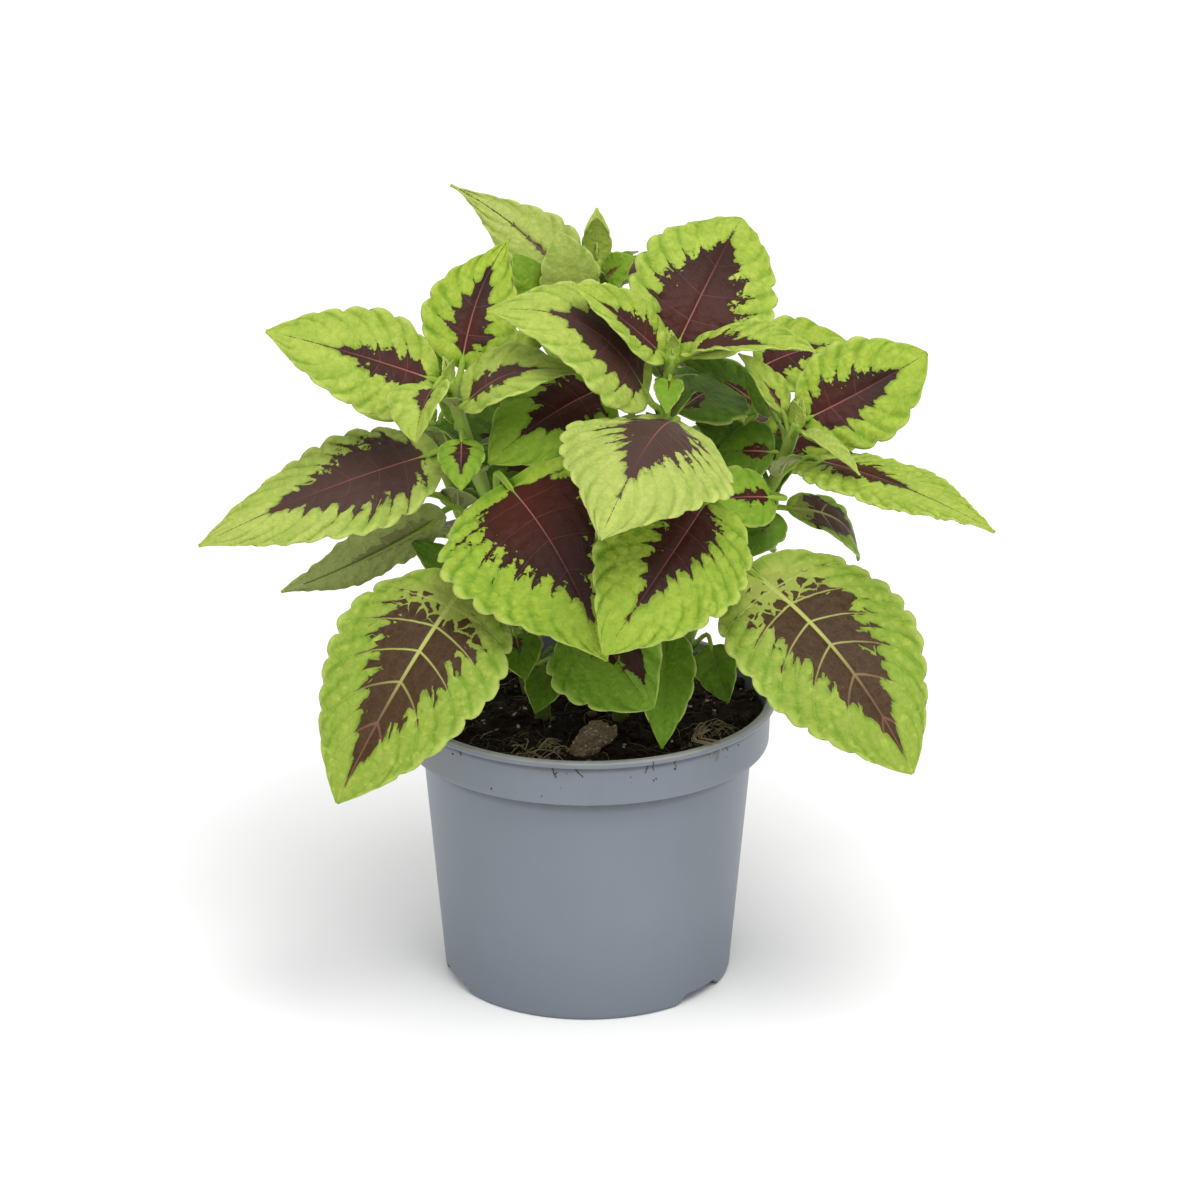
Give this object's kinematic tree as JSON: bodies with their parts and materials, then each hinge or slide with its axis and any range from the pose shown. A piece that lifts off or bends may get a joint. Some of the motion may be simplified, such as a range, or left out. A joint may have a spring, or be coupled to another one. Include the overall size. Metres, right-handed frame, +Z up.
{
  "type": "potted coleus",
  "caption": "Leafy coleus with broad toothed lime and maroon leaves on square stems, rooted in a soil-filled round plastic nursery pot.",
  "frame": {"origin": "centre of the pot's foot, on the plane that the pot stands on", "axes": "+Z up along the pot's axis; -Y is the plant's front; +X is to the right seen from the front"},
  "size_m": [0.2407, 0.2008, 0.248],
  "materials": {
    "pot": "satin",
    "soil": "matte",
    "bark": "matte",
    "stem": "satin",
    "leaf": "satin"
  },
  "bodies": {
    "root": {"pot": "pot", "soil": "soil", "bark_chip": "bark", "stem_centre": "stem", "leaf_centre_up": "leaf", "leaf_centre_left": "leaf", "leaf_centre_right": "leaf", "leaf_centre_down": "leaf", "leaf_centre_top": "leaf", "leaf_centre_inner": "leaf", "leaf_centre_back": "leaf", "leaf_front_droop": "leaf", "leaf_front_right": "leaf", "leaf_bottom_centre": "leaf", "leaf_bottom_tip": "leaf", "stem_left": "stem", "leaf_left_up": "leaf", "leaf_left_out": "leaf", "leaf_left_in": "leaf", "leaf_left_front": "leaf", "leaf_left_small": "leaf", "leaf_left_mid": "leaf", "leaf_front_left": "leaf", "leaf_left_under": "leaf", "leaf_low_left": "leaf", "leaf_bottom_left": "leaf", "leaf_bottom_left_low": "leaf", "stem_right": "stem", "leaf_right_up": "leaf", "leaf_right_small": "leaf", "leaf_right_in": "leaf", "leaf_right_fill": "leaf", "leaf_right_far": "leaf", "leaf_right_inner": "leaf", "leaf_right_inner_low": "leaf", "leaf_right_behind": "leaf", "leaf_low_right": "leaf", "leaf_bottom_right": "leaf", "stem_back": "stem", "leaf_back_top_left": "leaf", "leaf_back_small": "leaf", "leaf_back_front": "leaf", "leaf_back_inner": "leaf", "leaf_back_left": "leaf", "leaf_back_rear": "leaf", "leaf_back_mid_left": "leaf", "leaf_back_mid_right": "leaf", "leaf_back_low": "leaf", "stem_back_left": "stem", "leaf_rear_left_up": "leaf", "leaf_rear_left_in": "leaf", "leaf_rear_left_back": "leaf", "leaf_rear_left_out": "leaf", "leaf_rear_left_low": "leaf", "stem_back_right": "stem", "leaf_rear_right_up": "leaf", "leaf_rear_right_in": "leaf", "leaf_rear_right_back": "leaf", "leaf_rear_right_out": "leaf", "leaf_rear_right_low": "leaf"}
  },
  "joints": []
}
